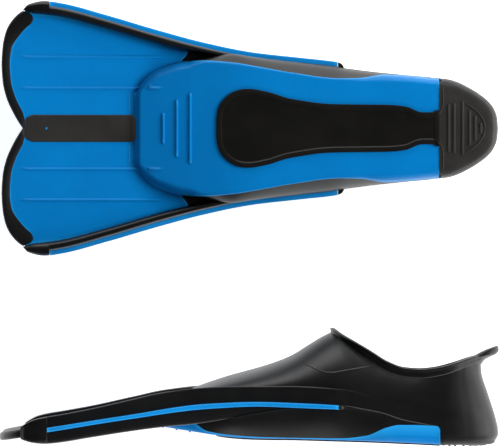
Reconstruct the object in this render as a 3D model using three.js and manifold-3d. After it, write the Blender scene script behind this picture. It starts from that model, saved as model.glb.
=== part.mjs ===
// A pair of full-foot swim fins: a blue polypropylene blade and sole with black rubber moulded round it.
//
// Each fin is drawn in its own frame, in millimetres: x runs from the blade tip to the heel, y across the
// fin, and z up from the plane that the heel treads stand on. Both halves of a fin are mirror images, so
// every half piece is drawn on the +y side. The finished fins are then laid out as a pair: the left one
// sole up, the right one on its edge below it.
import * as THREE from "three";
import { mergeVertices } from "three/addons/utils/BufferGeometryUtils.js";
import Module from "manifold-3d";

const wasm = await Module();
wasm.setup();

// ---------------------------------------------------------------- driving dimensions, mm
const GAP = 0.3; // between touching pieces
const STATION_STEP = 16; // spacing of the cross-sections along a fin

const BLADE = { tipZ: 9.5, slope: 0.165, thickness: 2.6 }; // the blade's mid plane climbs to the heel
const FLEX_X = 121; // the blade bends about this line
const FLEX_RELIEF = 3.2; // how far the rail ends lean back from the bending line
const RAIL_FLEX_GAP = 0.6;
const STRIP_FLEX_GAP = 1.8;
const RIB = { width: 1.6, depth: 2.0, halfSpans: [36.5, 64.4], from: 17, to: 119.2, rootTo: 148 };
const CENTER_STRIP = { from: 23, to: 119.6, frontHalf: 10.8, half: 12.3, thickness: 4.6 };
const PEG = { x: 41.4, radius: 1.0, hole: 1.3, height: 5.0 };
const EDGE_STRIP = { from: 46.6, to: 299.7, depth: 4.3 };
const RAIL = { from: 21.5, to: 299.8, noseTo: 46 };
const BUMPER = { edgeHalf: 3.7, innerHalf: 2.3, round: 1.5 };
const SOLE = { from: 122, to: 394.6, thickness: 3.0, edge: 2.8 };
const INSERT = { from: 194.4, to: 394.6, thickness: 1.1 };
const TOE_RIBS = [[146.7, 14], [159, 26], [171, 32]]; // x and half length
const TOE_RIB = { width: 1.8, depth: 1.5 };
const WALL = 2.6;
const BAND = { from: 187, to: 370, wall: 3.2 };
const VAMP = { from: 140, to: 299.8 };
const QUARTER = { from: 300.2, to: 394.9 };
const HEEL = { from: 395.2, floor: 6.5, half: 45.2, length: 53.2, wall: 3.0 };
const TREAD = { from: 399, pitch: 6.2, count: 6, width: 3.2, margin: 13 };
const FOOTBED = { from: 170, to: 440, thickness: 1.6 };
const COLLAR = { inward: 2.0, outward: 1.8, flare: 1.6, frontFlank: 6.0 };

// ---------------------------------------------------------------- profiles along a fin, [x, value]
// half-widths: the black side's outer face and the rails' inner face
const sideHalf = through([[20, 102], [25, 107.4], [39.6, 110.6], [54, 108.8], [97, 97.6], [140, 85],
  [184, 73.3], [227, 64.7], [270, 59.8], [302, 56.2], [313, 53.7], [346, 49.5], [389, 45.6], [400, 45]]);
const railInner = through([[21.5, 106.5], [25, 105.4], [30, 103.6], [39.6, 102.6], [54, 100.6], [97, 89.4],
  [140, 76.8], [150, 74.1], [184, 66.8], [205, 62.9], [227, 60.2], [248, 57.3], [270, 55.6], [300, 52.2]]);
const railTop = through([[21, 19], [25, 21.6], [32, 25.2], [43, 27.9], [54, 29.7], [83, 35.1],
  [119, 43.2], [148, 49.5], [176, 52.6], [209, 53], [261, 53.1], [306, 51.2]]);
const railBottom = through([[21, 8], [25, 6.3], [32, 4.5], [43, 3.6], [54, 4.5], [83, 9],
  [119, 14.4], [148, 18], [177, 20.7], [200, 24], [230, 30], [262, 34.5], [306, 35.4]]);
const seamZ = through([[177, 20.7], [200, 24], [230, 30], [262, 34.5], [306, 35.4], [343, 29.7],
  [373, 21.6], [396, 17.6]]);
const stripTop = through([[44, 18.2], [135, 32.7], [193.5, 39.8], [234, 40.9], [261, 39.3], [304, 37.1]]);
const stripBottom = through([[44, 14], [135, 26.7], [193.5, 35.6], [234, 36.4], [261, 34.9], [304, 33.4]]);

// sole plate: half-width, underside, and the height its edge climbs to
const soleHalf = through([[122, 33], [127, 41], [134, 48.5], [143, 54.5], [163, 60.8], [182, 61.2],
  [209, 59.3], [235, 55], [261, 50.4], [306, 45], [324, 45.4], [347, 48.6], [359, 48.2], [395, 44.9]]);
const soleZ = through([[122, 21.8], [149, 17.5], [179, 12.9], [209, 8.8], [234, 7.5], [263, 7],
  [292, 6.1], [335, 4.7], [364, 3.4], [395, 1.8]]);
const soleEdgeZ = through([[122, 27.6], [143, 31.2], [160, 33.6], [170, 30], [177, 20.7], [186, 14.8],
  [209, 11.2], [234, 10], [263, 9.5], [306, 8.6], [329, 10.2], [347, 17], [359, 19.2], [375, 18.7], [395, 17.6]]);
const soleLean = through([[122, 4], [160, 4], [186, 3], [306, 3], [347, 6], [395, 5]]);
const insertHalf = through([[194.4, 9], [196, 17], [200, 24.5], [207, 31], [215, 34.6], [223, 35.6],
  [240, 33], [261, 26.8], [300, 21.8], [350, 21.1], [365, 19.6], [380, 14.4], [389, 14.4], [395, 18]]);
const footbedZ = through([[170, 18.3], [209, 12.4], [234, 10.8], [292, 9.4], [335, 8.3], [364, 7.2], [395, 7], [440, 7]]);
const footbedHalf = through([[170, 30], [176, 44], [187, 51], [209, 53], [235, 49.5], [261, 45],
  [306, 38.5], [329, 36.5], [347, 36], [375, 36], [395, 36.5], [410, 35], [421, 31], [430, 25], [440, 13]]);

// upper: base line of the instep arch, its crown, and the rim of the foot opening
const vampHalf = through([[140, 50], [150, 56], [163, 59], [177, 61], [205, 61.6], [227, 59.5],
  [248, 56.7], [270, 55], [302, 51.5]]);
const vampBaseZ = through([[140, 34.4], [150, 36.2], [163, 39.4], [177, 45], [190, 49], [261, 50], [300, 48.5]]);
const vampTop = through([[140, 37.6], [150, 41], [163, 47], [176, 53], [191, 58.5], [205, 63],
  [234, 71.1], [248, 75.6], [263, 81.9], [277, 90.6], [292, 100.2], [300, 100.8]]);
const archBaseZ = through([[300, 47], [340, 40], [395, 35]]);
const rimHalf = through([[300.2, 1], [301, 5], [303, 12], [306.5, 18.5], [311, 24], [322, 31], [340, 36],
  [365, 38.4], [380, 38.4], [395, 37.2], [410, 33], [421, 27], [428.5, 19]]);
const rimLow = through([[300, 101.2], [311, 92.8], [322, 84.3], [340, 72], [352, 65.4], [365, 62],
  [380, 61.2], [395, 63.2], [410, 67.3], [421, 70.3], [430, 72]]);
const rimHigh = through([[300, 106.2], [306, 101.7], [320, 93.6], [335, 84.6], [349, 75.9], [364, 70.4],
  [378, 69.4], [392, 71.2], [407, 76.5], [421, 82.6], [430, 85.2]]);
const RIM_STATIONS = [301, 303, 306.5, 311, 322, 340, 352, 365, 380, 394.9];
const HEEL_RIM_STATIONS = [402, 410, 416, 421, 425, 428.4];

// heel: the back's reach and the side's half-width at each height, and the outline seen from below
const heelBack = through([[1, 440], [6.5, 447], [11, 448.4], [24, 446], [48.6, 438.3], [66, 433], [72, 433]]);
const heelSide = through([[6.5, 43.8], [12, 45.2], [30, 45], [45, 43.2], [55, 41], [63, 38.6], [72, 36]]);
const HEEL_OUTLINE = [[395.2, 45.2], [410.4, 42.3], [421, 37.4], [432, 31], [439.2, 25.2], [444.6, 18.2],
  [447.6, 9.6], [448.4, 0]];
const heelHalf = through([[395, 45.2], [410.4, 42.3], [421, 37.4], [432, 31], [439.2, 25.2], [444.6, 18.2],
  [447.6, 9.6]]);

// one lobe's tip: the bumper's outer edge from the notch outwards, and its inner edge beside it
const TIP_OUTER = [[20, GAP], [15.3, 7.2], [10.4, 16.2], [5.5, 27.5], [2.2, 42], [1.2, 58], [2.2, 74],
  [5, 87], [9, 95], [13.5, 100.6], [17.5, 104.2], [20.4, 106]];
const TIP_INNER = [[22.6, GAP], [22.4, 6], [21, 12.6], [14, 27.5], [9.9, 42], [8.8, 58], [10.4, 72],
  [17.2, 83.4], [23.4, 90.4], [28, 94.6], [29.8, 99], [27, 103.4]];

// how far the two fins lie apart: from the left one's centre line to the right one's standing plane
const PAIR_SPACING = 285.4;

const blue = new THREE.MeshStandardMaterial({ color: 0x0078c8, roughness: 0.38, metalness: 0 });
const stripBlue = new THREE.MeshStandardMaterial({ color: 0x1487dc, roughness: 0.35, metalness: 0 });
const black = new THREE.MeshStandardMaterial({ color: 0x151515, roughness: 0.5, metalness: 0 });
const soleBlack = new THREE.MeshStandardMaterial({ color: 0x24221f, roughness: 0.65, metalness: 0 });

// ---------------------------------------------------------------- helpers
// Smooth curve through [x, value] points that never overshoots them (a monotone cubic).
function through(points) {
  const last = points.length - 1;
  const secant = (i) => (points[i + 1][1] - points[i][1]) / (points[i + 1][0] - points[i][0]);
  const slope = (i) => {
    if (i === 0) return secant(0);
    if (i === last) return secant(last - 1);
    const before = secant(i - 1);
    const after = secant(i);
    return before * after <= 0 ? 0 : (2 * before * after) / (before + after);
  };
  return (x) => {
    if (x <= points[0][0]) return points[0][1];
    if (x >= points[last][0]) return points[last][1];
    const i = points.findIndex((point) => point[0] > x) - 1;
    const width = points[i + 1][0] - points[i][0];
    const t = (x - points[i][0]) / width;
    const start = (1 + 2 * t) * (1 - t) ** 2 * points[i][1] + t * (1 - t) ** 2 * width * slope(i);
    const end = t * t * (3 - 2 * t) * points[i + 1][1] + t * t * (t - 1) * width * slope(i + 1);
    return start + end;
  };
}

const bladeZ = (x) => BLADE.tipZ + BLADE.slope * x;

function stations(from, to, step = STATION_STEP) {
  const list = [from];
  for (let x = Math.ceil(from / step) * step; x < to; x += step) {
    if (x - from > step / 4 && to - x > step / 4) list.push(x);
  }
  return [...list, to];
}

// A geometry of shared corners with its faces turned outwards.
function closed(positions, index) {
  let volume = 0;
  for (let i = 0; i < index.length; i += 3) {
    const [a, b, c] = [positions[index[i]], positions[index[i + 1]], positions[index[i + 2]]];
    volume += a.dot(b.clone().cross(c));
  }
  if (volume < 0) index.reverse();
  const geometry = new THREE.BufferGeometry();
  geometry.setAttribute("position", new THREE.Float32BufferAttribute(positions.flatMap((p) => p.toArray()), 3));
  geometry.setIndex(index);
  return geometry;
}

// Skin over a row of rings with the same even number of corners, closed by a strip across each end.
function loft(rings) {
  const count = rings[0].length;
  const index = [];
  const quad = (a, b, c, d) => index.push(a, b, c, a, c, d);
  for (let i = 0; i + 1 < rings.length; i += 1) {
    for (let j = 0; j < count; j += 1) {
      const next = (j + 1) % count;
      quad(i * count + j, i * count + next, (i + 1) * count + next, (i + 1) * count + j);
    }
  }
  const top = (rings.length - 1) * count;
  for (let j = 0; j + 1 < count / 2; j += 1) {
    quad(j, count - 1 - j, count - 2 - j, j + 1);
    quad(top + j, top + j + 1, top + count - 2 - j, top + count - 1 - j);
  }
  return closed(rings.flat(), index);
}

const ringAt = (x, section) => section.map(([y, z]) => new THREE.Vector3(x, y, z));
const loftAlongX = (xs, section) => loft(xs.map((x) => ringAt(x, section(x))));

// A wall's section: an open profile and its copy moved in by the wall's thickness, never below floorZ.
function thicken(profile, thickness, floorZ = -Infinity) {
  const inner = profile.map(([y, z], i) => {
    const [y0, z0] = profile[Math.max(i - 1, 0)];
    const [y1, z1] = profile[Math.min(i + 1, profile.length - 1)];
    const length = Math.hypot(y1 - y0, z1 - z0);
    return [y - (thickness * (z1 - z0)) / length, Math.max(z + (thickness * (y1 - y0)) / length, floorZ)];
  });
  return [...profile, ...inner.reverse()];
}

const mirrored = (half) => [...half, ...half.slice(0, -1).reverse().map(([y, z]) => [-y, z])];
const rounded = (y0, y1, z0, z1, cut) => [[y0 + cut, z0], [y1 - cut, z0], [y1, z0 + cut], [y1, z1 - cut],
  [y1 - cut, z1], [y0 + cut, z1], [y0, z1 - cut], [y0, z0 + cut]];
const block = (y0, y1, z0, z1) => [[y0, z0], [y1, z0], [y1, z1], [y0, z1]];

// Closed plan of a piece from its +y side, given from tip to heel.
const symmetricPlan = (side) => [...side.map(([x, y]) => new THREE.Vector2(x, -y)),
  ...side.map(([x, y]) => new THREE.Vector2(x, y)).reverse()];

// A flat plate with the given plan, leaning with the blade.
function bladePlate(shape, thickness) {
  const plate = new THREE.ExtrudeGeometry(shape, { depth: thickness, bevelEnabled: false, curveSegments: 4 });
  return leaned(plate.translate(0, 0, -thickness / 2));
}

// Moves a piece drawn about z = 0 onto the blade's leaning mid plane.
function leaned(geometry) {
  const { slope, tipZ } = BLADE;
  return geometry.applyMatrix4(new THREE.Matrix4().set(1, 0, 0, 0, 0, 1, 0, 0, slope, 0, 1, tipZ, 0, 0, 0, 1));
}

function toManifold(geometry) {
  const bare = geometry.clone();
  bare.deleteAttribute("normal");
  bare.deleteAttribute("uv");
  const merged = mergeVertices(bare);
  const mesh = new wasm.Mesh({
    numProp: 3,
    vertProperties: Float32Array.from(merged.attributes.position.array),
    triVerts: Uint32Array.from(merged.index.array),
  });
  return new wasm.Manifold(mesh);
}

function fromManifold(solid) {
  const mesh = solid.getMesh();
  const geometry = new THREE.BufferGeometry();
  geometry.setAttribute("position", new THREE.BufferAttribute(Float32Array.from(mesh.vertProperties), 3));
  geometry.setIndex(new THREE.BufferAttribute(Uint32Array.from(mesh.triVerts), 1));
  return geometry;
}

const joined = (body, additions) => fromManifold(
  additions.reduce((whole, extra) => whole.add(toManifold(extra)), toManifold(body)));

function box(x0, x1, y0, y1, z0, z1) {
  const geometry = new THREE.BoxGeometry(x1 - x0, y1 - y0, z1 - z0);
  return geometry.translate((x0 + x1) / 2, (y0 + y1) / 2, (z0 + z1) / 2);
}

// ---------------------------------------------------------------- blade pieces, drawn on the +y side
function rib(y, from, to) {
  const low = -BLADE.thickness / 2 - RIB.depth;
  return leaned(box(from, to, y - RIB.width / 2, y + RIB.width / 2, low, 0));
}

function lobe() {
  const inner = CENTER_STRIP.half + GAP;
  const rear = FLEX_X - RAIL_FLEX_GAP;
  const tip = TIP_INNER.slice(2, 10).map(([x, y]) => new THREE.Vector2(x + GAP, y));
  const shape = new THREE.Shape();
  const side = [32, ...stations(36, rear)].map((x) => new THREE.Vector2(x, railInner(x) - GAP));
  shape.setFromPoints([new THREE.Vector2(rear, inner), new THREE.Vector2(tip[0].x, inner), ...tip.slice(1),
    new THREE.Vector2(30.8, 100), ...side]);
  const ribs = RIB.halfSpans.map((y) => rib(y, RIB.from, RIB.to));
  return joined(bladePlate(shape, BLADE.thickness), ribs);
}

function centerStrip() {
  const { from, to, frontHalf, half, thickness } = CENTER_STRIP;
  const side = [[from, frontHalf - 2], [from + 2, frontHalf], [from + 8, half], [to - 4, half], [to, half - 4]];
  const shape = new THREE.Shape();
  shape.setFromPoints(symmetricPlan(side));
  const corner = (i) => new THREE.Vector2(PEG.x, 0).add(new THREE.Vector2(PEG.hole, 0).rotateAround(
    new THREE.Vector2(), (-i * Math.PI) / 6));
  shape.holes.push(new THREE.Path().setFromPoints(Array.from({ length: 12 }, (_, i) => corner(i))));
  return bladePlate(shape, thickness);
}

function stripPeg() {
  const peg = new THREE.CylinderGeometry(PEG.radius, PEG.radius, PEG.height, 12);
  return leaned(peg.rotateX(Math.PI / 2).translate(PEG.x, 0, 0));
}

// Rubber band round one lobe's tip: thick and rounded on the outside, thin where it grips the blade.
function tipBumper() {
  const rings = TIP_OUTER.map(([x, y], i) => {
    const outer = new THREE.Vector3(x, y, bladeZ(x));
    const inner = new THREE.Vector3(TIP_INNER[i][0], TIP_INNER[i][1], bladeZ(TIP_INNER[i][0]));
    const shoulder = outer.clone().lerp(inner, BUMPER.round / outer.distanceTo(inner));
    const at = (point, dz) => point.clone().setZ(point.z + dz);
    return [at(outer, -BUMPER.innerHalf), at(shoulder, -BUMPER.edgeHalf), at(inner, -BUMPER.innerHalf),
      at(inner, BUMPER.innerHalf), at(shoulder, BUMPER.edgeHalf), at(outer, BUMPER.innerHalf)];
  });
  return loft(rings);
}

// The rail's section; its ends lean away from the bending line so that the blade can swing.
function railSection(x) {
  const relief = Math.min((Math.abs(x - FLEX_X) - RAIL_FLEX_GAP) / FLEX_RELIEF, 1);
  const open = 0.06 + 0.94 * Math.max(relief, 0);
  const low = bladeZ(x) + (railBottom(x) - bladeZ(x)) * open;
  const high = bladeZ(x) + (railTop(x) - bladeZ(x)) * open;
  const outer = sideHalf(x) + (x < RAIL.noseTo ? EDGE_STRIP.depth : 0);
  return rounded(railInner(x), outer, low, high, Math.min(1.5, (high - low) * 0.3));
}

const frontRail = () => loftAlongX([RAIL.from, 25, 32, 39, RAIL.noseTo - 0.3, RAIL.noseTo + 0.1,
  ...stations(54, FLEX_X - RAIL_FLEX_GAP - FLEX_RELIEF), FLEX_X - RAIL_FLEX_GAP], railSection);
const rearRail = () => loftAlongX([FLEX_X + RAIL_FLEX_GAP,
  ...stations(FLEX_X + RAIL_FLEX_GAP + FLEX_RELIEF, RAIL.to)], railSection);

const stripSection = (x) => block(sideHalf(x) + GAP, sideHalf(x) + EDGE_STRIP.depth, stripBottom(x), stripTop(x));
const frontEdgeStrip = () => loftAlongX(stations(EDGE_STRIP.from, FLEX_X - STRIP_FLEX_GAP), stripSection);
const rearEdgeStrip = () => loftAlongX(stations(FLEX_X + STRIP_FLEX_GAP, EDGE_STRIP.to), stripSection);

// ---------------------------------------------------------------- foot pieces
// Blade behind the bending line: a full-width plate whose corners reach back on both sides of the toes.
function bladeRoot() {
  const from = FLEX_X + RAIL_FLEX_GAP;
  const edge = stations(from, 166).map((x) => [x, railInner(x) - GAP]);
  const side = [...edge, [168.8, 69], [167.6, 66.6], [163.2, 61.4], [160, 58], [150, 52]];
  const shape = new THREE.Shape();
  shape.setFromPoints(symmetricPlan(side));
  const outerRib = RIB.halfSpans[1];
  const ribs = [-outerRib, outerRib].map((y) => rib(y, FLEX_X + STRIP_FLEX_GAP, RIB.rootTo));
  return joined(bladePlate(shape, BLADE.thickness), ribs);
}

// Filler between the blade's rear corner, the rail and the toe box.
function cornerWeb() {
  const side = [170.2, 180, 190, 204].map((x) => [x, railInner(x) - GAP]);
  const toe = [[204, 62.1], [190, 62.3], [178, 62.3], [164.6, 61.9]];
  const shape = new THREE.Shape();
  shape.setFromPoints([...side, ...toe].map(([x, y]) => new THREE.Vector2(x, y)));
  return bladePlate(shape, BLADE.thickness);
}

function soleSection(x) {
  const [low, edge, lean] = [soleZ(x), soleEdgeZ(x), soleLean(x)];
  const side = (half, floor) => mirrored(
    [[half, edge], [half - lean * 0.35, floor + (edge - floor) * 0.35], [half - lean, floor], [0, floor]]);
  const floor = low + Math.min(SOLE.thickness, (edge - low) * 0.8);
  return [...side(soleHalf(x), low), ...side(soleHalf(x) - SOLE.edge, floor).reverse()];
}

function soleInsert() {
  const top = (x) => soleZ(x) - GAP;
  return loftAlongX([INSERT.from, 196, 200, 207, 215, ...stations(225, INSERT.to)],
    (x) => block(-insertHalf(x), insertHalf(x), top(x) - INSERT.thickness, top(x)));
}

function solePlate() {
  const plate = loftAlongX([SOLE.from, 127, 134, 143, 152, 160, 168, 177, 186, 197,
    ...stations(209, SOLE.to)], soleSection);
  const ribs = TOE_RIBS.map(([x, half]) => box(x - TOE_RIB.width / 2, x + TOE_RIB.width / 2, -half, half,
    soleZ(x) - TOE_RIB.depth, soleZ(x) + 1));
  return joined(plate, ribs);
}

// Rubber heel bottom with a row of plain tread bars across it.
function heelSole() {
  const section = (x) => {
    const half = heelHalf(x) - 1.2;
    const back = Math.max(x - 437, 0);
    const low = 1.2 + back * back * 0.04;
    const cutIn = Math.min(3.5, half * 0.5);
    const middle = (low + HEEL.floor) / 2;
    return [[-half + cutIn, low], [half - cutIn, low], [half, middle], [half, HEEL.floor], [-half, HEEL.floor],
      [-half, middle]];
  };
  const body = loftAlongX([HEEL.from, 404, 412, 421, 430, 437, 441, 444.6, 446.6], section);
  const bars = Array.from({ length: TREAD.count }, (_, i) => {
    const x = TREAD.from + i * TREAD.pitch;
    const half = heelHalf(x + TREAD.width) - TREAD.margin;
    return box(x, x + TREAD.width, -half, half, 0, 3);
  });
  return joined(body, bars);
}

const footbed = () => loftAlongX([FOOTBED.from, 176, 187, 198, ...stations(209, 410), 421, 430, FOOTBED.to],
  (x) => block(-footbedHalf(x), footbedHalf(x), footbedZ(x), footbedZ(x) + FOOTBED.thickness));

// Part of the instep arch from its base at baseHalf up to the point where it is rimAt wide.
function archPoints(baseHalf, baseZ, rimAt, rimZ, count) {
  const end = Math.acos(Math.min(rimAt / baseHalf, 1));
  const rise = (rimZ - baseZ) / Math.sin(end) ** 1.15;
  return Array.from({ length: count }, (_, i) => {
    const angle = (end * i) / (count - 1);
    return [baseHalf * Math.cos(angle), baseZ + rise * Math.sin(angle) ** 1.15];
  });
}

function vamp() {
  const section = (x) => {
    const half = archPoints(vampHalf(x), vampBaseZ(x), 0, vampTop(x), 7);
    return thicken(mirrored(half), WALL, vampBaseZ(x));
  };
  return loftAlongX([VAMP.from, 150, 163, 177, 190, ...stations(205, 277), 285, 292, VAMP.to], section);
}

function quarter() {
  const section = (x) => {
    const arch = archPoints(sideHalf(x), archBaseZ(x), rimHalf(x), rimLow(x) - GAP, 8);
    return thicken([[sideHalf(x), seamZ(x) + GAP], ...arch], WALL);
  };
  return loftAlongX([QUARTER.from, ...RIM_STATIONS], section);
}

// Lower side between the sole plate's edge and the rail, bulging a little.
function sideBand() {
  const section = (x) => {
    const [y0, z0] = [soleHalf(x), soleEdgeZ(x) + GAP];
    const [y1, z1] = [sideHalf(x), seamZ(x) - GAP];
    const bulge = Math.min(2.5, (z1 - z0) * 0.12);
    const outer = [0, 1 / 3, 2 / 3, 1].map((t) => [
      y0 + (y1 - y0) * Math.sin((t * Math.PI) / 2) + bulge * Math.sin(t * Math.PI) * 0.3, z0 + (z1 - z0) * t]);
    return [...outer, ...outer.map(([y, z]) => [y - BAND.wall, z]).reverse()];
  };
  return loftAlongX(stations(BAND.from, BAND.to), section);
}

// Cup round the heel: upright profiles set along the heel's outline.
function heelCounter() {
  const half = HEEL_OUTLINE.map(([x, y]) => new THREE.Vector2(x, y));
  const outline = new THREE.SplineCurve([...half, ...half.slice(0, -1).reverse().map((p) => new THREE.Vector2(p.x, -p.y))]);
  const levels = [0, 0.12, 0.35, 0.6, 0.82, 1];
  const rings = Array.from({ length: 19 }, (_, i) => {
    const point = outline.getPoint(i / 18);
    const tangent = outline.getTangent(i / 18);
    const reach = (point.x - HEEL.from) / HEEL.length;
    const top = rimLow(HEEL.from + reach * 35) - GAP;
    const place = (level, inward) => {
      const z = HEEL.floor + GAP + (top - HEEL.floor - GAP) * level;
      const x = HEEL.from + reach * (heelBack(z) - HEEL.from) + tangent.y * inward;
      return new THREE.Vector3(Math.max(x, HEEL.from), (point.y * heelSide(z)) / HEEL.half - tangent.x * inward, z);
    };
    return [...levels.map((level) => place(level, 0)),
      ...levels.map((level) => place(level, HEEL.wall)).reverse()];
  });
  return loft(rings);
}

// Rim of the foot opening from the instep to the tab: an upright strip that flares at its top.
function collar() {
  const xs = [301, ...RIM_STATIONS.slice(1), ...HEEL_RIM_STATIONS];
  const rings = xs.map((x, i) => {
    const before = xs[Math.max(i - 1, 0)];
    const after = xs[Math.min(i + 1, xs.length - 1)];
    const along = new THREE.Vector2(after - before, rimHalf(after) - rimHalf(before)).normalize();
    const out = i === 0 ? new THREE.Vector2(-1, 0) : new THREE.Vector2(-along.y, along.x);
    const flank = COLLAR.outward + COLLAR.frontFlank * Math.max(0, 1 - (x - 301) / 12);
    const y = i === 0 ? GAP / 2 : rimHalf(x);
    const at = (offset, z) => new THREE.Vector3(x + out.x * offset, Math.max(y + out.y * offset, GAP / 2), z);
    const [low, high] = [rimLow(x) + GAP, rimHigh(x)];
    return [at(-COLLAR.inward, low), at(flank, low + 0.4), at(COLLAR.outward + COLLAR.flare, high - 1.2),
      at(COLLAR.outward, high), at(-0.8, high), at(-COLLAR.inward, high - 1.2)];
  });
  return loft(rings);
}

// Pull tab: the rim's back part, leaning out behind the heel.
function heelTab() {
  const back = [[430.6, 72.4], [434, 72.4], [436.4, 77], [441.6, 81.6], [448.2, 85.4], [448.6, 88], [445.4, 89.2],
    [438, 86.4], [432, 81], [430.4, 76]];
  const side = [[425.4, 72.2], [429.2, 72.2], [429.8, 75], [430.4, 78], [431, 82], [430.8, 84.6], [430, 85.4],
    [427.6, 85.4], [425.8, 82], [425.2, 76]];
  const spread = [-1, -0.86, -0.66, -0.4, 0, 0.4, 0.66, 0.86, 1];
  const rings = spread.map((s) => {
    const blend = 1 - Math.abs(s) ** 2.4;
    return back.map(([x, z], i) => new THREE.Vector3(
      side[i][0] + (x - side[i][0]) * blend, s * 17.2, side[i][1] + (z - side[i][1]) * blend));
  });
  return loft(rings);
}

// ---------------------------------------------------------------- assembly
function mirrorGeometry(geometry) {
  const copy = geometry.clone().applyMatrix4(new THREE.Matrix4().makeScale(1, -1, 1));
  copy.setIndex(Array.from(copy.index.array).reverse());
  return copy;
}

function named(name, geometry, material) {
  const mesh = new THREE.Mesh(geometry, material);
  mesh.name = name;
  return mesh;
}

// One fin; outerSign is the side of y that the little toe is on.
function makeFin(prefix, outerSign) {
  const fin = new THREE.Group();
  const single = (name, geometry, material) => fin.add(named(`${prefix}_${name}`, geometry, material));
  const pair = (name, geometry, material) => {
    const shared = geometry.index ? geometry : mergeVertices(geometry);
    const [outer, inner] = outerSign > 0 ? [shared, mirrorGeometry(shared)] : [mirrorGeometry(shared), shared];
    single(`outer_${name}`, outer, material);
    single(`inner_${name}`, inner, material);
  };
  pair("lobe", lobe(), blue);
  pair("tip_bumper", tipBumper(), black);
  pair("front_rail", frontRail(), black);
  pair("front_edge_strip", frontEdgeStrip(), stripBlue);
  single("center_strip", centerStrip(), soleBlack);
  single("strip_peg", stripPeg(), blue);
  single("blade_root", bladeRoot(), blue);
  pair("corner_web", cornerWeb(), black);
  pair("rear_rail", rearRail(), black);
  pair("rear_edge_strip", rearEdgeStrip(), stripBlue);
  single("sole_plate", solePlate(), blue);
  single("sole_insert", soleInsert(), soleBlack);
  single("heel_sole", heelSole(), soleBlack);
  single("footbed", footbed(), soleBlack);
  pair("side_band", sideBand(), black);
  single("vamp", vamp(), black);
  pair("quarter", quarter(), black);
  single("heel_counter", heelCounter(), black);
  pair("collar", collar(), black);
  single("heel_tab", heelTab(), black);
  return fin;
}

// Lowers or raises a turned fin until it touches the floor.
function standOnFloor(fin) {
  fin.updateMatrixWorld(true);
  fin.position.z -= new THREE.Box3().setFromObject(fin, true).min.z;
  return fin;
}

const leftFin = makeFin("left_fin", -1);
leftFin.rotation.x = Math.PI;
leftFin.position.y = PAIR_SPACING;

const rightFin = makeFin("right_fin", 1);
rightFin.rotation.x = -Math.PI / 2;

const pairOfFins = new THREE.Group();
pairOfFins.add(standOnFloor(leftFin), standOnFloor(rightFin));
const middle = new THREE.Box3().setFromObject(pairOfFins, true).getCenter(new THREE.Vector3());
pairOfFins.position.set(-middle.x, -middle.y, 0);

export default pairOfFins;
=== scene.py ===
"""A pair of full-foot swim fins: blue blades and soles with black rubber moulded round them.

Each fin is drawn in its own frame, in millimetres: x runs from the blade tip to the heel, y across
the fin and z up from the plane that the heel treads stand on. Both halves of a fin are mirror
images. The finished pieces are then laid into the row frame, in metres: the left fin sole up, the
right fin on its edge beside it.
"""
import logging
import math
from dataclasses import dataclass, field
from enum import Enum
from typing import Callable, Sequence

import bmesh
import bpy
import numpy as np
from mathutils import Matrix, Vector


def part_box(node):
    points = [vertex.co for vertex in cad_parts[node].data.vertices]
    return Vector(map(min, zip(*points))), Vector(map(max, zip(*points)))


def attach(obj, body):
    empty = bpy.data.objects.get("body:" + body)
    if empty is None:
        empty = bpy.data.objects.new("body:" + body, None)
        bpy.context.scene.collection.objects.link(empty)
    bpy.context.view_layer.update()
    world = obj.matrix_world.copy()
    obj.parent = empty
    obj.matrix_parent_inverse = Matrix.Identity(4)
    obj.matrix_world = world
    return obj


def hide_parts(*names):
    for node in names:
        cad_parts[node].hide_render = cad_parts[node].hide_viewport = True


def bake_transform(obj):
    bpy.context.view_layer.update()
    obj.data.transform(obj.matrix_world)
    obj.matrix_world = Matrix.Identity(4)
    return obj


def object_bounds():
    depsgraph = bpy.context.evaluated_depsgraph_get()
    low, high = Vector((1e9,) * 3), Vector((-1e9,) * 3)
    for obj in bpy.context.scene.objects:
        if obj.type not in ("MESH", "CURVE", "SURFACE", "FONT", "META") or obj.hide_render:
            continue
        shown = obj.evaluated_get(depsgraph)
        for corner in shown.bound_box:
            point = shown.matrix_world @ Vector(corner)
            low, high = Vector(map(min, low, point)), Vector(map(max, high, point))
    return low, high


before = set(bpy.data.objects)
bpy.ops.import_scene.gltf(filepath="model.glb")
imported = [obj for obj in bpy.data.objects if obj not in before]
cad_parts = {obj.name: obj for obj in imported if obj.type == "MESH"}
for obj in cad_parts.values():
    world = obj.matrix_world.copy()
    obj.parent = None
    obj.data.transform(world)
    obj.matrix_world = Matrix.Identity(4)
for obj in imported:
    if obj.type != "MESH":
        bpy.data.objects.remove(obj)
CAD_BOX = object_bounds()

Number = float | np.ndarray
Pair = tuple[float, float]         # a point, a station with its value, or a range
Line = tuple[Pair, ...]
Span = tuple[float, float, float]  # start, end and step
Color = tuple[float, float, float, float]

LOG = logging.getLogger("swim_fins")
MM = 0.001
GAP = 0.3                           # left between the grip pad's rim and the sole, mm
BEND_FROM, BEND_TO = 92.0, 138.0    # stations between which a blade turns
HEEL_FROM, HEEL_HALF = 395.2, 45.2  # where the rubber heel starts, and its half width there
TIP_Z, CLIMB = 9.5, 0.165           # the blade's mid plane at station 0, and its slope
ON_CENTRE = 1e-6                    # nearer than this to the centre plane is on it
WELD_WITHIN = 0.02                  # corners nearer than this are one, mm
MOST_REACH = 0.48                   # most of a side that one corner's rounding takes
DOME_ANGLES = np.linspace(0, math.radians(80), 6)[1:]  # of a rounded end's rings
BEAD_SIDES, BEAD_TIP, BEAD_TAPER = 10, 0.15, 6.0  # its section, its ends' size, how fast it grows


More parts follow.
